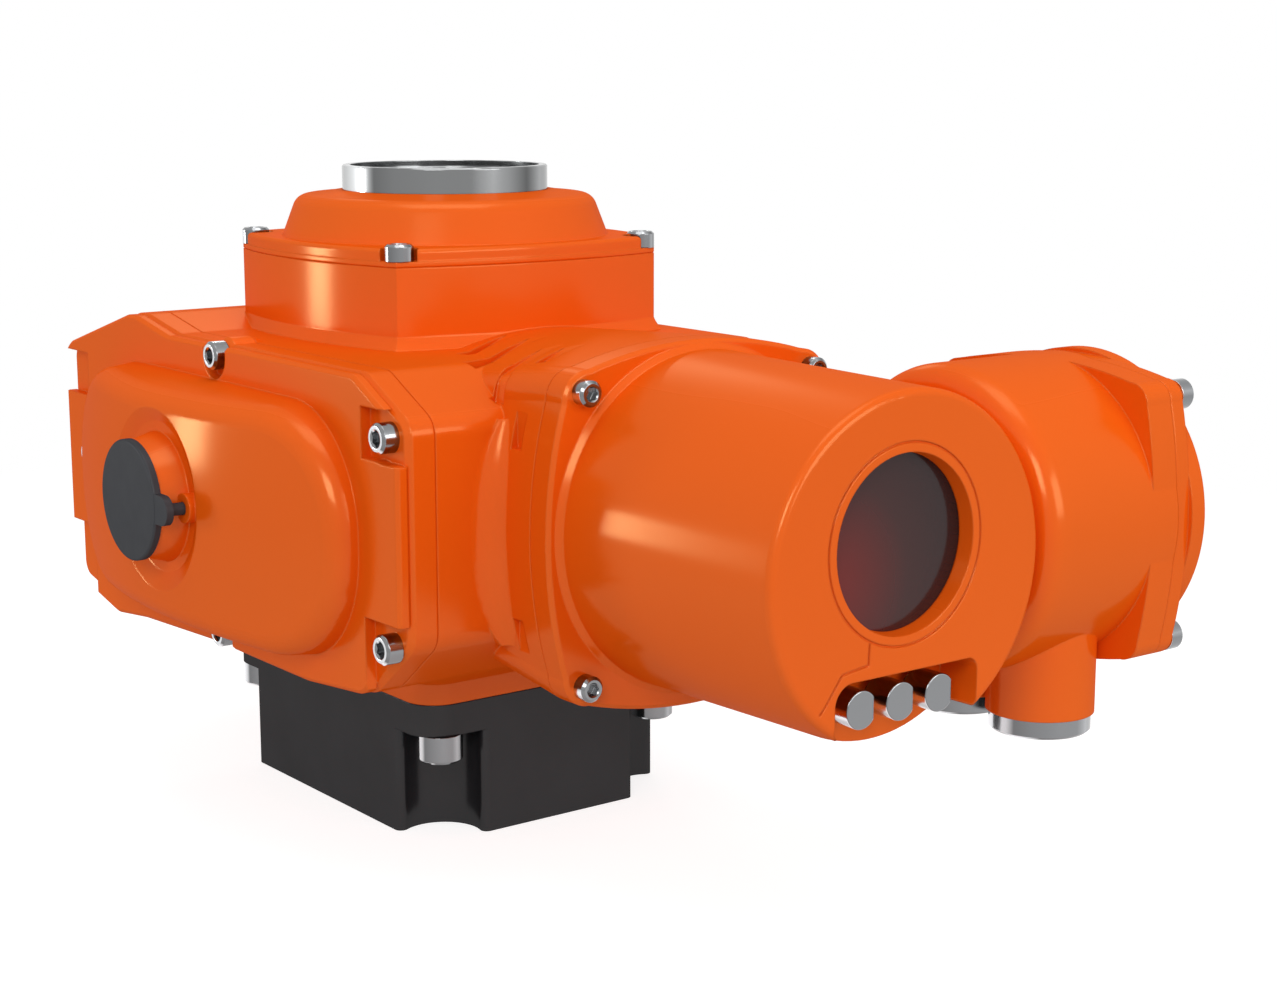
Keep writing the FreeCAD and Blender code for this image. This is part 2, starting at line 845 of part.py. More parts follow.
def output_bush():
    body = ring("z", drive, sleeve_bore, bush_bore, sleeve_start, sleeve_start + bush_height)
    key = bush_key / 2
    along = (sleeve_start - 1, sleeve_start + bush_height + 1)
    slot = block((0, bush_bore + bush_key_depth), (-key, key), along)
    return body.cut(slot)


def worm_wheel():
    pitch_radius = worm_module * wheel_teeth / 2
    tip = pitch_radius + worm_module * thread_tip
    root = pitch_radius - worm_module * thread_root
    low = train_height - wheel_width / 2
    blank = rod("z", drive, tip, low, low + wheel_width)
    gap = math.pi * worm_module * (1 - thread_share) / 2
    slope = math.tan(math.radians(20))
    lead = math.atan(worm_module / 2 / worm_pitch)
    cutters = []
    for i in range(wheel_teeth):
        wide = gap + (tip + 1 - pitch_radius) * slope
        narrow = gap - (pitch_radius - root) * slope
        corners = [(tip + 1, -wide, 0), (tip + 1, wide, 0), (root, narrow, 0), (root, -narrow, 0)]
        cutter = slab("z", outline("z", -wheel_width, corners), 2 * wheel_width)
        cutter.rotate(FreeCAD.Vector(), axes["x"], math.degrees(lead))
        cutter.translate(FreeCAD.Vector(0, 0, train_height))
        cutter.rotate(FreeCAD.Vector(), axes["z"], -90 + i * 360 / wheel_teeth)
        cutters.append(cutter)
    toothed = blank.cut(cutters)
    hub = rod("z", drive, wheel_hub_radius, train_height - wheel_hub / 2, train_height + wheel_hub / 2)
    return fused([toothed, hub]).cut(rod("z", drive, sleeve_radius, low - wheel_hub, low + 2 * wheel_hub))


def worm_shaft():
    lead = math.pi * worm_module
    length = lead * thread_turns
    tip = worm_pitch + worm_module * thread_tip
    root = worm_pitch - worm_module * thread_root
    inside = root - 0.3
    slope = math.tan(math.radians(20))
    half = lead * thread_share / 2
    tip_half = half - (tip - worm_pitch) * slope
    root_half = half + (worm_pitch - inside) * slope
    points = [(inside, -root_half), (tip, -tip_half), (tip, tip_half), (inside, root_half)]
    profile = Part.makePolygon([FreeCAD.Vector(r, 0, z) for r, z in points + points[:1]])
    helix = Part.makeHelix(lead, length, worm_pitch)
    thread = Part.Wire(helix.Edges).makePipeShell([profile], True, True)
    thread = Part.Solid(thread) if thread.ShapeType != "Solid" else thread
    thread.translate(FreeCAD.Vector(0, 0, -length / 2))
    thread.rotate(FreeCAD.Vector(), FreeCAD.Vector(1, 1, 1), 120)
    thread.translate(FreeCAD.Vector(0, worm_y, train_height))
    place = (worm_y, train_height)
    core = rod("x", place, root, -length / 2 - 3, length / 2 + 3)
    shaft = rod("x", place, worm_shaft_radius, spur_end - 1, worm_end - 1)
    return shaft.fuse([core, thread])


def spur_gear(centre, teeth, phase, bore):
    # Involute spur gear on an axis along X. The phase is the direction of one tooth, from +Y.
    pitch_radius = spur_module * teeth / 2
    base_radius = pitch_radius * math.cos(math.radians(20))
    tip = pitch_radius + spur_module * 0.92
    root = pitch_radius - spur_module * 1.2
    thickness = math.pi * spur_module / 2 - spur_play

    def half_angle(radius):
        shift = involute(math.acos(base_radius / pitch_radius))
        return thickness / 2 / pitch_radius + shift - involute(math.acos(base_radius / radius))

    start = max(base_radius, root)
    radii = [start + (tip - start) * i / 3 for i in range(4)]
    flank = [(radius, half_angle(radius)) for radius in radii]
    if root < base_radius:
        flank.insert(0, (root, flank[0][1]))
    corners = []
    for i in range(teeth):
        middle = math.radians(phase) + i * 2 * math.pi / teeth
        turns = [(radius, middle - angle) for radius, angle in flank]
        turns += [(radius, middle + angle) for radius, angle in reversed(flank)]
        for radius, angle in turns:
            corners.append((centre[0] + radius * math.cos(angle), centre[1] + radius * math.sin(angle), 0))
    gear = slab("x", outline("x", spur_end, corners), spur_width)
    return gear.cut(rod("x", centre, bore, spur_end - 1, spur_start + 1))


def involute(angle):
    return math.tan(angle) - angle


def hand_spindle():
    end = boss_front + 0.5
    body = fused([
        rod("x", hand_axis, spindle_radius, end, housing_left + spindle_inner - 1),
        rod("x", hand_axis, spindle_radius + 3, spur_end - 2, spur_end),
    ])
    return body.cut(hexagon("x", hand_axis, crank_socket, end - 1, end + crank_socket_depth))


def hand_bush():
    inner = housing_left - gear_room
    outer = boss_front + 1.0
    return ring("x", hand_axis, spindle_bush, spindle_radius + running_gap, outer, inner)


def idler_pin():
    place = (idler_y, train_height)
    shank = rod("x", place, idler_pin_radius, spur_end - 1.5, housing_left + idler_pin_depth)
    head = rod("x", place, idler_pin_radius + 2, spur_end - 2.5, spur_end - 0.5)
    collar = rod("x", place, idler_pin_radius + 2.5, spur_start + 0.5, housing_left)
    return fused([shank, head, collar])


def motor_parts():
    place = (motor_y, train_height)
    start = housing_left + motor_inset
    end = start + motor_length
    stator = ring("x", place, motor_radius, rotor_radius + stator_gap, start + end_shield, end - end_shield)
    shields = [
        ring("x", place, motor_radius, motor_shaft_radius + running_gap, start, start + end_shield),
        ring("x", place, motor_radius, motor_shaft_radius + running_gap, end - end_shield, end),
    ]
    middle = (start + end) / 2
    core = rod("x", place, rotor_radius, middle - rotor_length / 2, middle + rotor_length / 2)
    shaft = rod("x", place, motor_shaft_radius, spur_end - 1, end - 1)
    return stator, Part.makeCompound(shields), fused([core, shaft])


def left_cover():
    flange = slab("x", side_outline(flange_front, 0), flange_thick)
    flange = flange.makeChamfer(flange_edge, at_plane(flange, "x", flange_front))
    flange = flange.makeChamfer(seam_edge, at_plane(flange, "x", housing_left))
    lobe = rod("x", left_screws[2], lobe_radius, flange_front, housing_left)
    lobe = lobe.makeChamfer(flange_edge, at_plane(lobe, "x", flange_front))
    rim = slab("x", side_outline(rim_front, rim_inset), rim_thick)
    rim = rim.makeChamfer(rim_edge, at_plane(rim, "x", rim_front))
    rim = rim.cut(rim_cutters())
    foot = dome_wire(flange_front + 1, 0)
    crest = dome_wire(dome_tip - 8, dome_draft * 2)
    pillow = Part.makeLoft([foot, crest], True, True)
    centre = FreeCAD.Vector(dome_tip + dome_crown, 0, (dome_low + dome_high) / 2)
    pillow = pillow.common(Part.makeSphere(dome_crown, centre))
    boxes = [(edge, edge.BoundBox) for edge in pillow.Edges]
    brow = [edge for edge, box in boxes if box.XMax < flange_front - 2 and box.XLength < 12]
    pillow = pillow.makeFillet(dome_edge, brow)
    body = fused([flange, lobe, rim, pillow])
    dish_floor = dome_tip + dish_depth
    dish = taper("x", hand_axis, dish_radius, dish_floor_radius, dome_tip - 0.6, dish_floor)
    body = body.cut(dish)
    pin_axis = (hand_y - cap_pin_distance, train_height)
    boss = taper("x", hand_axis, boss_radius, boss_foot_radius, boss_front, dish_floor + 1)
    pin_boss = rod("x", pin_axis, pin_boss_radius, pin_boss_front, dish_floor + 2)
    body = fused([body, boss, pin_boss])
    room_y = dome_half - dome_end_wall
    room = [(-room_y, dome_low + dome_wall), (room_y, dome_high - dome_wall)]
    corner = dome_corner - dome_wall
    cutters = [
        rounded_box("x", room[0], room[1], corner, housing_left - gear_room, housing_left + 1),
        rod("x", hand_axis, spindle_bush, boss_front - 1, housing_left),
        rod("x", pin_axis, cap_pin_radius + running_gap, pin_boss_front - 1, boss_front + cap_pin_length),
    ]
    for place in left_screws:
        cutters.append(rod("x", place, m6[0] / 2 + hole_play, flange_front - 1, housing_left + 1))
        cutters.append(rod("x", place, m6[1] / 2 + 0.6, dome_tip, flange_front))
    return body.cut(cutters)


def rim_cutters():
    # Open pockets round the screws and the gaps above and below the rim's end pads.
    away = 60
    near = -near_end - away
    far = far_end + away
    front = rim_front - 1
    ends = [(near, left_screws[0][1]), (near, left_screws[1][1])]
    ends += [(top_screw_y, housing_top + away), (0, housing_bottom - away)]
    cuts = []
    for place, end in zip(left_screws, ends):
        cuts.append(obround("x", place, end, left_pocket, front, flange_front))
    near_side = (near, rim_pad_width - near_end)
    far_side = (far_end - rim_pad_width, far)
    for (low, high), side in ((near_pad, near_side), (far_pad, far_side)):
        high_cut = (train_height + high, train_height + high + rim_pad_gap)
        cuts.append(block((front, flange_front), side, high_cut))
        cuts.append(block((front, flange_front), side, (housing_bottom - away, train_height + low)))
    return cuts


def dome_wire(along, inset):
    half = dome_half - inset
    low = dome_low + inset
    high = dome_high - inset
    corner = dome_corner - inset
    places = ((-half, low), (half, low), (half, high), (-half, high))
    return outline("x", along, [(y, z, corner) for y, z in places])


def swing_cap():
    # Disc with a tab towards its pivot pin, which turns in the small boss beside the dish.
    back = boss_front - face_gap
    front = back - cap_thick
    pin_axis = (hand_y - cap_pin_distance, train_height)
    disc = rod("x", hand_axis, cap_radius, front, back)
    disc = disc.makeFillet(0.8, at_plane(disc, "x", front))
    tab = obround("x", hand_axis, pin_axis, cap_tab, front + 0.2, back)
    pin = rod("x", pin_axis, cap_pin_radius, back, boss_front + cap_pin_length - 1)
    return fused([disc, tab, pin])


def control_housing():
    flange = edged_square("y", control_parting, control_front, flange_axis, flange_ear, flange_bow,
                          flange_corner, 1.2)
    barrel = taper("y", control_axis, cylinder_root, cylinder_tip, control_front, display_face)
    barrel = barrel.makeFillet(cylinder_edge, at_plane(barrel, "y", display_face))
    foot_ring = taper("y", control_axis, cylinder_root + cylinder_foot, cylinder_root - 0.2,
                      control_front, control_front - cylinder_foot)
    drum = rod("x", drum_axis, drum_radius, drum_left, drum_parting)
    drum = drum.makeFillet(drum_edge, at_plane(drum, "x", drum_left))
    link = rod("x", drum_axis, drum_link, 0, drum_left + drum_edge)
    entries = [rod("z", (entry_x, y), entry_radius, entry_bottom, drum_height) for y in entry_y]
    body = fused([flange, barrel, foot_ring, drum, link, drum_ears()] + entries)
    return body.cut(control_bores())


def drum_ears():
    start = drum_parting - drum_ear_thick
    square = bowed_square("x", start, drum_axis, drum_ear, drum_bow, drum_ear_corner)
    return slab("x", square, drum_ear_thick)


def control_bores():
    bore_end = display_face + front_wall
    glass_back = display_face + window_depth + glass_thick
    cutters = [
        rod("y", control_axis, control_bore, bore_end, control_parting + 1),
        rod("y", window_axis, display_bore, glass_back, bore_end + 1),
        rod("y", window_axis, glass_radius, display_face + window_depth, bore_end),
        taper("y", window_axis, window_mouth, window_radius, display_face, display_face + window_depth),
        rod("y", window_axis, window_radius, display_face, display_face + window_depth + 1),
        ring("y", window_axis, face_groove + groove_half, face_groove - groove_half, display_face - 1,
             display_face + groove_depth),
        rod("x", drum_axis, drum_bore, drum_left + drum_partition, drum_parting + 1),
        rod("x", drum_axis, wire_passage, 0, drum_parting),
        button_recess(),
    ]
    for x in button_places:
        cutters.append(rod("y", (x, button_height), button_stem + running_gap, display_face, bore_end + 1))
    jogs = [(x, control_height + z) for x, z in jog_groove]
    for first, second in zip(jogs, jogs[1:]):
        jog = obround("y", first, second, groove_half, display_face - 1, display_face + groove_depth)
        cutters.append(jog)
    for place in control_screw_places():
        cutters.append(rod("y", place, m5[0] / 2 + hole_play, control_front - 1, control_parting + 1))
    for place in drum_screw_places():
        cutters.append(rod("x", place, m6[0] / 2, cover_face - drum_screw_reach, drum_parting + 1))
    for y in entry_y:
        insert_end = entry_bottom + bushing_insert
        cutters.append(rod("z", (entry_x, y), bushing_spigot, entry_bottom - 1, insert_end))
        cutters.append(rod("z", (entry_x, y), entry_passage, entry_bottom, drum_height))
    return cutters


def button_recess():
    # Notch under the window that the three buttons stand in, open downwards.
    below = control_height - 2 * cylinder_root
    top = control_height - recess_below
    corners = [
        (-recess_low_left, below, 0),
        (recess_right, below, 0),
        (recess_right, top, 4),
        (-recess_left, top, 7),
        (-recess_left, control_height - recess_knee, 3),
        (-recess_low_left, control_height - recess_lip, 1),
    ]
    wire = outline("y", display_face - 1, corners)
    return slab("y", wire, recess_depth + 1)


def push_button(x):
    place = (x, button_height)
    front = display_face + button_face
    back = front + button_length
    head = rod("y", place, button_radius, front, back)
    head = head.makeFillet(0.5, at_plane(head, "y", front))
    flat = block((x + button_flat, x + 2 * button_radius), (front - 1, back + 1),
                 (button_height - button_radius, button_height + button_radius))
    head = head.cut(flat)
    clip_start = display_face + front_wall + face_gap
    clip_end = clip_start + button_clip_thick
    stem = rod("y", place, button_stem, back, clip_end + 1.5)
    clip = rod("y", place, button_clip, clip_start, clip_end)
    return fused([head, stem, clip])


def display_window():
    start = display_face + window_depth
    return rod("y", window_axis, glass_radius, start, start + glass_thick)


def display_board():
    start = display_face + front_wall
    return rod("y", window_axis, display_board_radius, start, start + board_thick)


def display_screen():
    end = display_face + front_wall
    x, z = window_axis
    x_range = (x - screen_half_x, x + screen_half_x)
    return block(x_range, (end - screen_depth, end), (z - screen_half_z, z + screen_half_z))


def control_board():
    start = control_parting - board_thick
    board = rod("y", control_axis, control_board_radius, start, control_parting)
    blocks = []
    for x, z, width, height, depth in board_blocks:
        low = control_height + z - height / 2
        across = (x - width / 2, x + width / 2)
        blocks.append(block(across, (start - depth, start + 0.2), (low, low + height)))
    return fused([board] + blocks)


def position_sensor():
    return sensor_space(0)


def dished_cap(radius, foot, tip):
    # Spherical cap about the drum's axis.
    rise = tip - foot
    ball = (radius ** 2 + rise ** 2) / (2 * rise)
    half_angle = math.asin(radius / ball) / 2
    middle = FreeCAD.Vector(tip - ball + ball * math.cos(half_angle), ball * math.sin(half_angle), 0)
    crown = Part.Arc(FreeCAD.Vector(foot, radius, 0), middle, FreeCAD.Vector(tip, 0, 0)).toShape()
    corners = [(tip, 0, 0), (foot - 1, 0, 0), (foot - 1, radius, 0), (foot, radius, 0)]
    sides = Part.makePolygon([FreeCAD.Vector(*corner) for corner in corners])
    face = Part.Face(Part.Wire([crown] + sides.Edges))
    cap = face.revolve(FreeCAD.Vector(), axes["x"], 360)
    cap.translate(FreeCAD.Vector(0, *drum_axis))
    return cap


def terminal_cover():
    plate = edged_square("x", drum_parting, cover_face, drum_axis, drum_ear, drum_bow, drum_ear_corner, 1.0)
    step_face = cover_face + cover_step
    step = rod("x", drum_axis, cover_step_radius, cover_face - 1, step_face)
    step = step.makeFillet(1.2, at_plane(step, "x", step_face))
    tip = step_face + cover_bulge
    bulge = dished_cap(cover_bulge_radius, step_face, tip)
    spigot = rod("x", drum_axis, drum_bore - running_gap, drum_parting - cover_spigot, drum_parting + 1)
    body = fused([plate, step, bulge, spigot])
    cutters = [rod("x", drum_axis, cover_inner, drum_parting - cover_spigot - 1, cover_face - cover_skin)]
    for place in drum_screw_places():
        cutters.append(rod("x", place, m6[0] / 2 + hole_play, drum_parting - 1, cover_face + 1))
        cutters.append(rod("x", place, m6[1] / 2 + 0.6, cover_face, tip))
    return body.cut(cutters)


def terminal_block():
    start = drum_left + drum_partition
    y_range = (drum_y - block_half_y, drum_y + block_half_y)
    low = drum_height - block_below - block_half_z
    body = block((start, start + block_depth), y_range, (low, low + 2 * block_half_z))
    pitch = 2 * block_half_y / block_ways
    holes = []
    for i in range(block_ways):
        y = drum_y - block_half_y + pitch * (i + 0.5)
        for z in (low + block_half_z / 2, low + block_half_z * 1.5):
            holes.append(rod("x", (y, z), block_screw, start + block_depth - block_screw_depth,
                             start + block_depth + 1))
    return body.cut(holes)


def conduit_bushing(y):
    place = (entry_x, y)
    low = entry_bottom - bushing_show
    body = rod("z", place, bushing_radius, low, entry_bottom)
    body = body.makeChamfer(0.8, at_plane(body, "z", low))
    body = body.fuse(rod("z", place, bushing_spigot, entry_bottom, entry_bottom + bushing_insert))
    return body.cut(rod("z", place, entry_bore, low - 1, entry_bottom + bushing_insert + 1))


def screw_set(axis, side, places, seat, size, reach):
    return Part.makeCompound([cap_screw(axis, side, place, seat, size, reach) for place in places])


def control_screw_places():
    return [(x, flange_height + z) for x, z in corner_places(control_screw_x, control_screw_z)]


def drum_screw_places():
    return [(drum_y + y, drum_height + z) for y, z in corner_places(drum_screw, drum_screw)]


def worm_bearings():
    place = (worm_y, train_height)
    inner = worm_shaft_radius + running_gap
    first = bearing("x", place, worm_tunnel, inner, housing_left, housing_left + worm_bearing_width)
    second = bearing("x", place, worm_tunnel, inner, worm_end - worm_bearing_width, worm_end)
    return Part.makeCompound([first, second])


def all_parts():
    stator, shields, rotor = motor_parts()
    shaft_inner = sleeve_radius + running_gap
    parts = {
        "thrust_base": thrust_base(),
        "gear_housing": gear_housing(),
        "top_cover": top_cover(),
        "stem_ring": stem_ring(),
        "motor_cover": left_cover(),
        "control_housing": control_housing(),
        "terminal_cover": terminal_cover(),
        "drive_sleeve": drive_sleeve(),
        "output_bush": output_bush(),
        "worm_wheel": worm_wheel(),
        "magnet_ring": ring("z", drive, magnet_radius, sleeve_radius, magnet_start,
                            magnet_start + magnet_width),
        "position_sensor": position_sensor(),
        "lower_sleeve_bearing": bearing("z", drive, lower_bearing_radius, shaft_inner, lower_bearing_start,
                                        base_height),
        "upper_sleeve_bearing": bearing("z", drive, upper_bearing_radius, shaft_inner, upper_bearing_start,
                                        tower_top),
        "output_seal": ring("z", drive, seal_radius, shaft_inner, spigot_depth, spigot_depth + seal_width),
        "worm_shaft": worm_shaft(),
        "worm_bearings": worm_bearings(),
        "worm_gear": spur_gear((worm_y, train_height), worm_gear_teeth, 180 / worm_gear_teeth,
                               worm_shaft_radius),
        "hand_spindle": hand_spindle(),
        "hand_gear": spur_gear(hand_axis, hand_gear_teeth, 0, spindle_radius),
        "hand_bush": hand_bush(),
        "idler_gear": spur_gear((idler_y, train_height), idler_teeth, 180 / idler_teeth,
                                idler_pin_radius + running_gap),
        "idler_pin": idler_pin(),
        "motor_stator": stator,
        "motor_end_shields": shields,
        "motor_rotor": rotor,
        "motor_pinion": spur_gear((motor_y, train_height), pinion_teeth, 0, motor_shaft_radius),
        "hand_drive_cap": swing_cap(),
        "display_window": display_window(),
        "display_screen": display_screen(),
        "display_board": display_board(),
        "control_board": control_board(),
        "terminal_block": terminal_block(),
        "conduit_bushings": Part.makeCompound([conduit_bushing(y) for y in entry_y]),
        "base_screws": screw_set("z", -1, corner_places(base_screw_x, base_screw_y), base_seat, m10,
                                 base_screw_reach),
        "tower_screws": screw_set("z", 1, corner_places(tower_screw, tower_screw), parting_top, m6,
                                  tower_screw_reach),
        "motor_cover_screws": screw_set("x", -1, left_screws, flange_front, m6, left_screw_reach),
        "control_screws": screw_set("y", -1, control_screw_places(), control_front, m5, control_screw_reach),
        "terminal_screws": screw_set("x", 1, drum_screw_places(), cover_face, m6, drum_screw_reach),
    }
    for name, x in zip(("left", "middle", "right"), button_places):
        parts["push_button_" + name] = push_button(x)
    return parts


os.makedirs("parts", exist_ok=True)
for name, shape in all_parts().items():
    shape.exportStep("parts/" + name + ".step")
    print(name, len(shape.Solids), "solids", round(shape.Volume / 1000, 1), "cm3", shape.isValid())
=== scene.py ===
import json
import math

import bpy
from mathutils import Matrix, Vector


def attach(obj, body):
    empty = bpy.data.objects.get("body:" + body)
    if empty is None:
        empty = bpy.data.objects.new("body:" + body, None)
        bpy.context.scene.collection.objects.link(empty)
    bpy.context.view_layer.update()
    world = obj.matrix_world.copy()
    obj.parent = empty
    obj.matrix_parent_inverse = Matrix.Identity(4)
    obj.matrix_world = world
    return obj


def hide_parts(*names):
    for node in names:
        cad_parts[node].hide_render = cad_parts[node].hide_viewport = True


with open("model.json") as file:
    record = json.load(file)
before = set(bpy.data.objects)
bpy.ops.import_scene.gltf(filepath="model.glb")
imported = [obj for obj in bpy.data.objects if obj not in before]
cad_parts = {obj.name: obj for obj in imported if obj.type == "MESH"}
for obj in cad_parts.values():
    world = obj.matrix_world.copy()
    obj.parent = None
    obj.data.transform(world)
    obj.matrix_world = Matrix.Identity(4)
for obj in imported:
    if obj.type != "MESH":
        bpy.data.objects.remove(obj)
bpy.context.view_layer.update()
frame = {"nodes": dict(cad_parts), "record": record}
nodes = frame["nodes"]
print("frame loaded,", len(nodes), "CAD nodes")


# Node trees: a wire does sums with Python operators, and one method makes every other node.

class Wire:
    def __init__(self, tree, socket):
        self.tree = tree
        self.socket = socket

    def sum(self, operation, first, second):
        node = self.tree.nodes.new("ShaderNodeMath")
        node.operation = operation
        for slot, value in zip(node.inputs, (first, second)):
            plug(self.tree, slot, value)
        return Wire(self.tree, node.outputs[0])

    def __add__(self, other):
        return self.sum("ADD", self, other)

    def __radd__(self, other):
        return self.sum("ADD", other, self)

    def __sub__(self, other):
        return self.sum("SUBTRACT", self, other)

    def __rsub__(self, other):
        return self.sum("SUBTRACT", other, self)

    def __mul__(self, other):
        return self.sum("MULTIPLY", self, other)

    def __rmul__(self, other):
        return self.sum("MULTIPLY", other, self)

    def atMost(self, limit):
        return self.sum("MINIMUM", self, limit)


def plug(tree, slot, value):
    if isinstance(value, Wire):
        tree.links.new(value.socket, slot)
    else:
        slot.default_value = value


def slotOf(node, key):
    # An input by its name, or by its identifier where two inputs share a name.
    for slot in node.inputs:
        if slot.identifier == key:
            return slot
    return node.inputs[key.replace("_", " ")]


class NodeMaker:
    def __init__(self, tree):
        self.tree = tree

    def node(self, kind, out=0, settings=None, stops=None, **values):
        made = self.tree.nodes.new(kind)
        for key, value in (settings or {}).items():
            setattr(made, key, value)
        if stops:
            ramp = made.color_ramp.elements
            while len(ramp) < len(stops):
                ramp.new(0.5)
            for element, (at, colour) in zip(ramp, stops):
                element.position = at
                element.color = (*colour, 1)
        for key, value in values.items():
            for each in value if isinstance(value, list) else [value]:
                plug(self.tree, slotOf(made, key), each)
        return Wire(self.tree, made.outputs[out])

    def end(self, kind, surface):
        plug(self.tree, self.tree.nodes.new(kind).inputs["Surface"], surface)


edgeSamples = 8


class Finish(NodeMaker):
    # One material, whose patterns follow the place of a point on the piece.
    def __init__(self, name):
        self.material = bpy.data.materials.new(name)
        self.material.use_nodes = True
        super().__init__(self.material.node_tree)
        self.tree.nodes.clear()
        self.place = self.node("ShaderNodeTexCoord", out="Object")

    def facing(self):
        return self.node("ShaderNodeTexCoord", out="Normal")

    def noise(self, scale, detail):
        return self.node("ShaderNodeTexNoise", out="Fac", Vector=self.place, Scale=scale, Detail=detail,
                         Roughness=0.5)

    def ramp(self, fac, stops):
        return self.node("ShaderNodeValToRGB", out="Color", stops=stops, Fac=fac)

    def level(self, value, low, high, start, end):
        return self.node("ShaderNodeMapRange", out="Result", Value=value, From_Min=low, From_Max=high,
                         To_Min=start, To_Max=end)

    def bump(self, height, distance, strength, **values):
        return self.node("ShaderNodeBump", out="Normal", Height=height, Distance=distance,
                         Strength=strength, **values)

    def rounded(self, radius):
        # The way a surface faces, with its sharp edges softened by this radius.
        return self.node("ShaderNodeBevel", out="Normal", settings={"samples": edgeSamples},
                         Radius=radius)

    def fromCentre(self, centre, axes):
        # Distance of a point from a centre, measured along the given axes only.
        shift = self.node("ShaderNodeMapping", out="Vector", Vector=self.place,
                          Location=tuple(-c * a for c, a in zip(centre, axes)), Scale=axes)
        return self.node("ShaderNodeVectorMath", out="Value", settings={"operation": "LENGTH"},
                         Vector=shift)

    def principled(self, **values):
        return self.node("ShaderNodeBsdfPrincipled", out="BSDF", **values)

    def mixed(self, share, first, second):
        return self.node("ShaderNodeMixShader", out="Shader", Fac=share, Shader=first, Shader_001=second)

    def finished(self, surface):
        self.end("ShaderNodeOutputMaterial", surface)
        return self.material

    def matt(self, gleam, **values):
        # A matt body under a thin mirror, the same at every angle. Gleam is the mirror's tint and share.
        body = self.principled(Specular_IOR_Level=0.0, **values)
        mirror = self.principled(Base_Color=gleam[0], Metallic=1.0, Roughness=values["Roughness"],
                                 Normal=values["Normal"])
        return self.finished(self.mixed(gleam[1], body, mirror))


# Paint on the castings: a smooth deep orange with a faint orange-peel and softly broken edges.
# Upward faces are a little duller than the sides.

paint = {
    "light": (0.86, 0.118, 0.005), "deep": (0.80, 0.096, 0.004), "cloudScale": 5.0,
    "peelScale": 260.0, "peelDepth": 0.00001, "peelStrength": 0.4, "edge": 0.0009,
    "sideFacing": 0.35, "topFacing": 0.95, "sideRough": 0.16, "topRough": 0.3,
    "patchScale": 12.0, "patchLow": -0.02, "patchHigh": 0.03,
    "gleam": ((1.0, 0.66, 0.30, 1), 0.05),
}


def orangePaint():
    f = Finish("orangePaint")
    tone = f.ramp(f.noise(paint["cloudScale"], detail=1.0), [(0.0, paint["deep"]), (1.0, paint["light"])])
    normal = f.bump(f.noise(paint["peelScale"], detail=0.0), paint["peelDepth"], paint["peelStrength"],
                    Normal=f.rounded(paint["edge"]))
    upward = f.node("ShaderNodeSeparateXYZ", out="Z", Vector=f.facing())
    rough = f.level(upward, paint["sideFacing"], paint["topFacing"], paint["sideRough"],
                    paint["topRough"])
    patches = f.level(f.noise(paint["patchScale"], detail=1.0), 0, 1, paint["patchLow"],
                      paint["patchHigh"])
    return f.matt(paint["gleam"], Base_Color=tone, Roughness=rough + patches, Normal=normal)


# Paint on the base: almost black, with a fine grain.
basePaintLook = {
    "deep": (0.014, 0.013, 0.014), "light": (0.024, 0.024, 0.027), "cloudScale": 40.0,
    "grainScale": 700.0, "grainDepth": 0.00002, "grainStrength": 0.5, "edge": 0.0009,
    "rough": 0.2, "gleam": ((1, 1, 1, 1), 0.025),
}


def basePaint():
    f = Finish("basePaint")
    look = basePaintLook
    tone = f.ramp(f.noise(look["cloudScale"], detail=2.0), [(0.0, look["deep"]), (1.0, look["light"])])
    normal = f.bump(f.noise(look["grainScale"], detail=1.0), look["grainDepth"], look["grainStrength"],
                    Normal=f.rounded(look["edge"]))
    return f.matt(look["gleam"], Base_Color=tone, Roughness=look["rough"], Normal=normal)


# Painted reflections on polished metal, as light and dark bands of colour: the place across the bands,
# then the brightness there.
paintedReflectionBands = [
    (0.0, 0.12), (0.06, 0.86), (0.1, 0.88), (0.15, 0.6), (0.19, 0.16), (0.3, 0.2), (0.5, 0.25),
    (0.67, 0.26), (0.76, 0.42), (0.81, 0.3), (0.915, 0.12), (0.953, 0.34), (1.0, 0.14),
]
# Painted reflections on the stem ring, as bands of light and dark round its axis
ringPaintedReflections = [
    (0.0, 0.88), (0.024, 0.6), (0.042, 0.15), (0.08, 0.2), (0.147, 0.22), (0.2, 0.22), (0.235, 0.38),
    (0.262, 0.3), (0.302, 0.12), (0.34, 0.34), (0.4, 0.12), (0.5, 0.5), (0.6, 0.15), (0.7, 0.4),
    (0.8, 0.2), (0.9, 0.12), (0.95, 0.4), (1.0, 0.88),
]
# The painted reflection bands follow how far a surface faces the direction across, or else the angle round
# the Z axis.
metals = {
    "brightSteel": {"tone": (0.95, 0.97, 1.0), "rough": 0.16, "wearAndReflectionBands": paintedReflectionBands,
                    "across": (0.72, -0.34, 0.60)},
    "ringSteel": {"tone": (0.97, 0.99, 1.0), "rough": 0.14, "wearAndReflectionBands": ringPaintedReflections},
    "machinedSteel": {"tone": (0.36, 0.36, 0.37), "rough": 0.3},
    "bronze": {"tone": (0.54, 0.32, 0.13), "rough": 0.32},
}
wearLook = {"scale": 90.0, "dull": 0.85, "smoothest": 0.8, "roughest": 1.2, "edge": 0.0004}


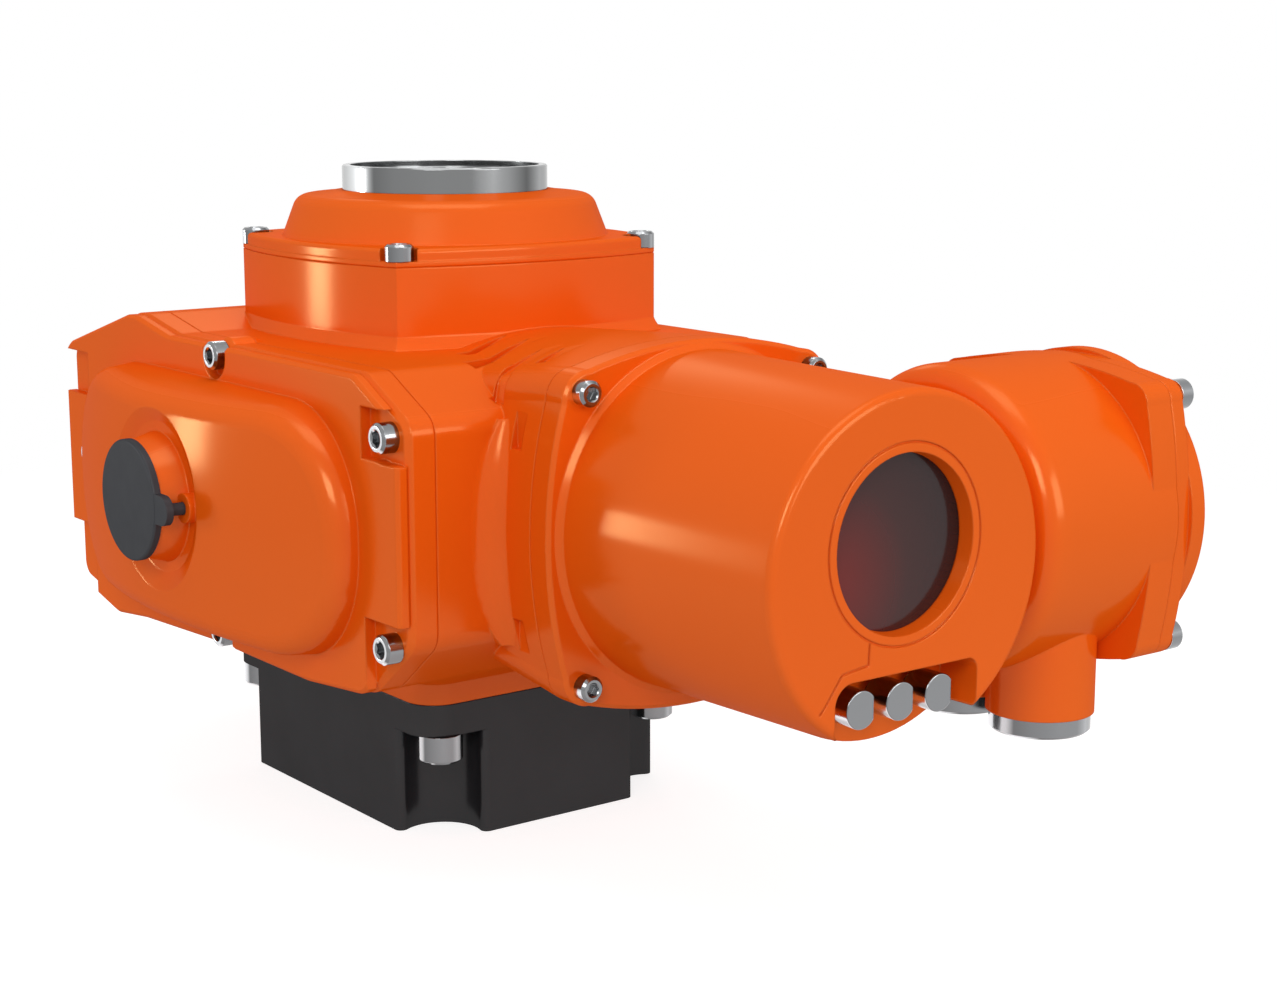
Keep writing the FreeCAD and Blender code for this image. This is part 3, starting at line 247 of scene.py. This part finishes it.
def metal(name, tone, rough, wearAndReflectionBands=None, across=None):
    f = Finish(name)
    wear = f.noise(wearLook["scale"], detail=1.0)
    # With bands, the colour is painted reflection, lighter and darker by facing or by angle round Z;
    # without them, it varies at random as wear.
    if across:
        turned = f.node("ShaderNodeVectorMath", out="Value", settings={"operation": "DOT_PRODUCT"},
                        Vector=f.facing(), Vector_001=across)
        fac = f.level(turned, -1, 1, 0, 1)
    elif wearAndReflectionBands:
        fac = f.node("ShaderNodeTexGradient", out="Fac", settings={"gradient_type": "RADIAL"},
                     Vector=f.place)
    else:
        fac = wear
        wearAndReflectionBands = [(0.0, wearLook["dull"]), (1.0, 1.0)]
    colour = f.ramp(fac, [(at, tuple(light * c for c in tone)) for at, light in wearAndReflectionBands])
    shine = f.level(wear, 0, 1, rough * wearLook["smoothest"], rough * wearLook["roughest"])
    return f.finished(f.principled(Base_Color=colour, Roughness=shine, Metallic=1.0,
                                   Normal=f.rounded(wearLook["edge"])))


plastics = {
    "capPlastic": {"deep": (0.032, 0.034, 0.039), "light": (0.044, 0.046, 0.052), "rough": 0.4,
                   "grain": 0.00003},
    "darkPlastic": {"deep": (0.02, 0.02, 0.022), "light": (0.035, 0.035, 0.037), "rough": 0.5,
                    "grain": 0.00003},
    "boardPlastic": {"deep": (0.01, 0.08, 0.03), "light": (0.02, 0.12, 0.05), "rough": 0.35,
                     "grain": 0.00002},
    "greyPlastic": {"deep": (0.42, 0.42, 0.38), "light": (0.5, 0.5, 0.46), "rough": 0.45,
                    "grain": 0.00003},
    "rubber": {"deep": (0.012, 0.012, 0.012), "light": (0.022, 0.022, 0.022), "rough": 0.65,
               "grain": 0.00004},
    "copperWinding": {"deep": (0.3, 0.1, 0.04), "light": (0.42, 0.16, 0.06), "rough": 0.35,
                      "grain": 0.00006},
}
plasticLook = {"cloudScale": 120.0, "grainScale": 1500.0, "grainStrength": 0.4,
               "gleam": ((1, 1, 1, 1), 0.02)}


def plastic(name, deep, light, rough, grain):
    f = Finish(name)
    tone = f.ramp(f.noise(plasticLook["cloudScale"], detail=2.0), [(0.0, deep), (1.0, light)])
    normal = f.bump(f.noise(plasticLook["grainScale"], detail=1.0), grain, plasticLook["grainStrength"])
    return f.matt(plasticLook["gleam"], Base_Color=tone, Roughness=rough, Normal=normal)


# Window of the control housing: dark tinted glass with a painted reflection, red towards the left and
# darker further out.
window = {
    "centre": (-0.0280, 0, 0.1220), "reach": 0.058, "middle": 0.55,
    "red": (0.20, 0.014, 0.011), "brown": (0.056, 0.018, 0.017), "dark": (0.022, 0.014, 0.015),
    "rough": 0.12, "alpha": 0.93, "shine": 0.3,
}


def windowGlass():
    f = Finish("windowGlass")
    # Painted reflection: red round the given point, through brown to dark further from it
    away = f.level(f.fromCentre(window["centre"], (1, 0, 1)), 0, window["reach"], 0, 1)
    tone = f.ramp(away, [(0.0, window["red"]), (window["middle"], window["brown"]), (1.0, window["dark"])])
    return f.finished(f.principled(Base_Color=tone, Roughness=window["rough"], Alpha=window["alpha"],
                                   Specular_IOR_Level=window["shine"]))


finishes = {"orangePaint": orangePaint(), "basePaint": basePaint()}
for name, look in metals.items():
    finishes[name] = metal(name, **look)
for name, look in plastics.items():
    finishes[name] = plastic(name, **look)
finishes["windowGlass"] = windowGlass()

# The finish of each material slot, and of the one node that has its own
slotFinish = {
    "orange_paint": "orangePaint", "base_black": "basePaint", "bright_steel": "brightSteel",
    "machined_steel": "machinedSteel", "bronze": "bronze", "magnet": "darkPlastic",
    "sensor_plastic": "darkPlastic", "seal_rubber": "rubber", "winding": "copperWinding",
    "black_plastic": "capPlastic", "window_glass": "windowGlass", "screen": "darkPlastic",
    "circuit_board": "boardPlastic", "terminal_plastic": "greyPlastic",
}
nodeFinish = {"stem_ring": "ringSteel"}

for part in frame["record"]["subparts"]:
    mesh = nodes[part["node"]].data
    mesh.materials.clear()
    mesh.materials.append(finishes[nodeFinish.get(part["node"], slotFinish[part["material_slot"]])])
print("finishes on the CAD nodes")


# Cap screws: one Geometry Nodes tree turns each point of a mesh into a screw with a hexagon socket.

class ShapeTree(NodeMaker):
    def __init__(self, name):
        super().__init__(bpy.data.node_groups.new(name, "GeometryNodeTree"))
        for way in ("OUTPUT", "INPUT"):
            self.tree.interface.new_socket("Geometry", in_out=way, socket_type="NodeSocketGeometry")
        self.source = self.tree.nodes.new("NodeGroupInput")
        self.target = self.tree.nodes.new("NodeGroupOutput")

    def value(self, name, kind="NodeSocketFloat"):
        self.tree.interface.new_socket(name, in_out="INPUT", socket_type=kind)
        return Wire(self.tree, self.source.outputs[name])

    def raised(self, shape, height):
        shift = self.node("ShaderNodeCombineXYZ", Z=height)
        return self.node("GeometryNodeTransform", Geometry=shape, Translation=shift)

    def cylinder(self, sides, radius, depth):
        return self.node("GeometryNodeMeshCylinder", out="Mesh", Vertices=sides, Radius=radius,
                         Depth=depth)

    def cone(self, sides, bottom, top, depth):
        return self.node("GeometryNodeMeshCone", out="Mesh", Vertices=sides, Radius_Bottom=bottom,
                         Radius_Top=top, Depth=depth)

    def boolean(self, operation, **meshes):
        return self.node("GeometryNodeMeshBoolean", out="Mesh",
                         settings={"operation": operation, "solver": "EXACT"}, **meshes)

    def finished(self, shape, material):
        real = self.node("GeometryNodeRealizeInstances", Geometry=shape)
        painted = self.node("GeometryNodeSetMaterial", Geometry=real, Material=material)
        plug(self.tree, self.target.inputs["Geometry"], painted)
        return self.tree


# The socket's depth and the leg's radius are shares of the head's height, and the mouth's radius
# is a share of the radius over the socket's corners. Smooth is the sharpest smooth angle in degrees.
screwLook = {"sides": 48, "legSides": 24, "slope": 0.0009, "lap": 0.00001, "socket": 0.55,
             "mouth": 1.08, "mouthDepth": 0.0007, "leg": 0.5, "smooth": 28}


def capScrewTree():
    g = ShapeTree("capScrew")
    radius = g.value("Head Radius")
    height = g.value("Head Height")
    flats = g.value("Socket Flats")
    shank = g.value("Shank Radius")
    reach = g.value("Shank Reach")
    turn = g.value("Turn", "NodeSocketVector")
    material = g.value("Material", "NodeSocketMaterial")
    sides = screwLook["sides"]

    # The head is a cylinder whose top edge is taken off by a wide cone.
    head = g.raised(g.cylinder(sides, radius, height), height * 0.5)
    crown = radius - screwLook["slope"]
    taper = g.cone(sides, crown + height * 2, crown, height * 2)
    head = g.boolean("INTERSECT", Mesh_2=[head, g.raised(taper, screwLook["lap"] - height)])

    # The socket is a hexagon with a turned mouth that meets its corners.
    corner = flats * (1 / math.sqrt(3))
    socket = g.cylinder(6, corner, height * screwLook["socket"] * 2)
    head = g.boolean("DIFFERENCE", Mesh_2=g.raised(socket, height), Mesh_1=head)
    rim = corner * screwLook["mouth"]
    depth = screwLook["mouthDepth"]
    mouth = g.cone(sides, rim - depth * 2, rim + depth, depth * 3)
    head = g.boolean("DIFFERENCE", Mesh_2=g.raised(mouth, height - depth * 2), Mesh_1=head)

    leg = g.raised(g.cylinder(screwLook["legSides"], shank, reach), reach * -0.5)
    screw = g.node("GeometryNodeJoinGeometry", Geometry=[head, leg])
    points = Wire(g.tree, g.source.outputs["Geometry"])
    placed = g.node("GeometryNodeInstanceOnPoints", out="Instances", Points=points, Instance=screw,
                    Rotation=turn)
    return g.finished(placed, material)


weldDigits = 6  # corners that agree to these digits of a metre are one corner


def solidsOf(node):
    # Lowest and highest corner of each separate solid in a CAD node
    mesh = nodes[node].data
    places = [tuple(round(c, weldDigits) for c in vertex.co) for vertex in mesh.vertices]
    group = {place: place for place in places}

    def root(place):
        while group[place] != place:
            group[place] = group[group[place]]
            place = group[place]
        return place

    for edge in mesh.edges:
        first, second = edge.vertices
        group[root(places[first])] = root(places[second])
    solids = {}
    for place in places:
        solids.setdefault(root(place), []).append(place)
    return [(Vector(map(min, zip(*points))), Vector(map(max, zip(*points))))
            for points in solids.values()]


def added(name, data):
    made = bpy.data.objects.new(name, data)
    bpy.context.scene.collection.objects.link(made)
    return made


def grown(name, tree, points, values):
    # What a geometry node tree makes of a few points, as an object with a plain mesh
    seeds = bpy.data.meshes.new(name + "Seeds")
    seeds.from_pydata(points, [], [])
    maker = added(name + "Maker", seeds)
    modifier = maker.modifiers.new("grow", "NODES")
    modifier.node_group = tree
    for socket in tree.interface.items_tree:
        if socket.item_type == "SOCKET" and socket.in_out == "INPUT" and socket.name in values:
            modifier[socket.identifier] = values[socket.name]
    evaluated = maker.evaluated_get(bpy.context.evaluated_depsgraph_get())
    shape = bpy.data.meshes.new_from_object(evaluated)
    maker.modifiers.remove(modifier)
    bpy.data.objects.remove(maker)
    shape.name = name
    return added(name, shape)


# The axis of each set of screws, the side its heads point to, its hexagon and its head height
screwSets = {
    "base_screws": {"axis": "z", "side": -1, "flats": 0.008, "headHeight": 0.010},
    "tower_screws": {"axis": "z", "side": 1, "flats": 0.005, "headHeight": 0.006},
    "motor_cover_screws": {"axis": "x", "side": -1, "flats": 0.005, "headHeight": 0.006},
    "control_screws": {"axis": "y", "side": -1, "flats": 0.004, "headHeight": 0.005},
    "terminal_screws": {"axis": "x", "side": 1, "flats": 0.005, "headHeight": 0.006},
}
turns = {("z", 1): (0, 0, 0), ("z", -1): (math.pi, 0, 0), ("x", 1): (0, math.pi / 2, 0),
         ("x", -1): (0, -math.pi / 2, 0), ("y", -1): (math.pi / 2, 0, 0)}


def buildScrews():
    tree = capScrewTree()
    for name, kind in screwSets.items():
        axis = "xyz".index(kind["axis"])
        across = (axis + 1) % 3
        headHeight = kind["headHeight"]
        seats = []
        for low, high in solidsOf(name):
            seat = (low + high) / 2
            tip = high[axis] if kind["side"] > 0 else low[axis]
            seat[axis] = tip - kind["side"] * headHeight
            seats.append(seat)
        # All screws of a set are alike, so the last one gives the head radius and the reach.
        piece = grown(name + "Fine", tree, seats, {
            "Head Radius": (high[across] - low[across]) / 2, "Head Height": headHeight,
            "Socket Flats": kind["flats"], "Shank Radius": headHeight * screwLook["leg"],
            "Shank Reach": high[axis] - low[axis] - headHeight,
            "Turn": turns[(kind["axis"], kind["side"])], "Material": finishes["brightSteel"],
        })
        piece.data.shade_smooth()
        piece.data.set_sharp_from_angle(angle=math.radians(screwLook["smooth"]))
        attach(piece, "actuator")
        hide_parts(name)
        print(name, len(seats), "screws")


buildScrews()


# Floor, world, lamps and the view

# The floor is painted near the part and plain white from near to far. Glow is how bright it looks,
# and dim and world are what the floor and the world cast on the part.
stage = {"size": 8.0, "near": 0.30, "far": 0.75, "tone": 0.36, "rough": 0.95, "glow": 0.82,
         "dim": 0.22, "world": 0.45}
white = (1, 1, 1, 1)
seeingRays = ("Is Camera Ray", "Is Glossy Ray", "Is Transmission Ray")


def strengthOf(maker, seen, cast):
    # One strength for rays from the camera, a reflection or glass, and another for all others.
    camera, gloss, glass = [maker.node("ShaderNodeLightPath", out=ray) for ray in seeingRays]
    return (camera + gloss + glass).atMost(1.0) * (seen - cast) + cast


def buildFloor():
    half = stage["size"]
    mesh = bpy.data.meshes.new("floor")
    corners = [(-half, -half, 0), (half, -half, 0), (half, half, 0), (-half, half, 0)]
    mesh.from_pydata(corners, [], [(0, 1, 2, 3)])
    floor = added("floor", mesh)
    f = Finish("floorPaint")
    tone = stage["tone"]
    painted = f.principled(Base_Color=(tone, tone, tone, 1), Roughness=stage["rough"])
    glow = f.node("ShaderNodeEmission", out="Emission", Color=white,
                  Strength=strengthOf(f, stage["glow"], stage["dim"]))
    near = f.node("ShaderNodeAddShader", out="Shader", Shader=painted, Shader_001=glow)
    far = f.node("ShaderNodeEmission", out="Emission", Color=white,
                 Strength=strengthOf(f, 1, stage["world"]))
    away = f.level(f.fromCentre((0, 0, 0), (1, 1, 0)), stage["near"], stage["far"], 0, 1)
    mesh.materials.append(f.finished(f.mixed(away, near, far)))


def buildWorld():
    world = bpy.data.worlds.new("studio")
    bpy.context.scene.world = world
    world.use_nodes = True
    w = NodeMaker(world.node_tree)
    w.tree.nodes.clear()
    w.end("ShaderNodeOutputWorld", w.node("ShaderNodeBackground", out="Background", Color=white,
                                          Strength=strengthOf(w, 1, stage["world"])))


# Places and sizes in metres, power in watts
lamps = {
    "keyLamp": {"place": (-1.3, -1.3, 1.0), "target": (0, -0.08, 0.12), "size": (0.7, 0.7),
                "power": 10.5},
    "frontLamp": {"place": (0.5, -1.9, 0.7), "target": (0, -0.1, 0.12), "size": (1.1, 0.8),
                  "power": 10},
    "topLamp": {"place": (-0.1, -0.2, 1.9), "target": (0, -0.05, 0.1), "size": (1.2, 1.0),
                "power": 9},
    "stripLamp": {"place": (-1.02, 1.12, 0.13), "target": (-0.05, -0.1, 0.14), "size": (0.22, 0.34),
                  "power": 4},
    "backStrip": {"place": (0.66, 1.20, 1.00), "target": (-0.02, -0.2, 0.17), "size": (0.4, 0.07),
                  "power": 2},
}


def buildLamp(name, place, target, size, power):
    data = bpy.data.lights.new(name, "AREA")
    data.shape = "RECTANGLE"
    data.size, data.size_y = size
    data.energy = power
    light = added(name, data)
    light.location = place
    light.rotation_euler = (Vector(target) - Vector(place)).to_track_quat("-Z", "Y").to_euler()


# Place and clip start in metres, yaw and pitch in degrees, lens and sensor in millimetres
view = {"place": (-0.4629, -0.7306, 0.2720), "yaw": -37.18, "pitch": 10.74, "lens": 64.1,
        "sensor": 36.0, "clipStart": 0.01}


def buildCamera():
    camera = added("camera", bpy.data.cameras.new("camera"))
    yaw, pitch = math.radians(view["yaw"]), math.radians(view["pitch"])
    ahead = Vector((-math.sin(yaw) * math.cos(pitch), math.cos(yaw) * math.cos(pitch),
                    -math.sin(pitch)))
    camera.location = view["place"]
    camera.rotation_euler = ahead.to_track_quat("-Z", "Y").to_euler()
    camera.data.lens = view["lens"]
    camera.data.sensor_width = view["sensor"]
    camera.data.clip_start = view["clipStart"]
    bpy.context.scene.camera = camera


buildFloor()
buildWorld()
for name, values in lamps.items():
    buildLamp(name, **values)
buildCamera()
bpy.context.scene.view_settings.view_transform = "Standard"
print("floor, lamps and camera placed")
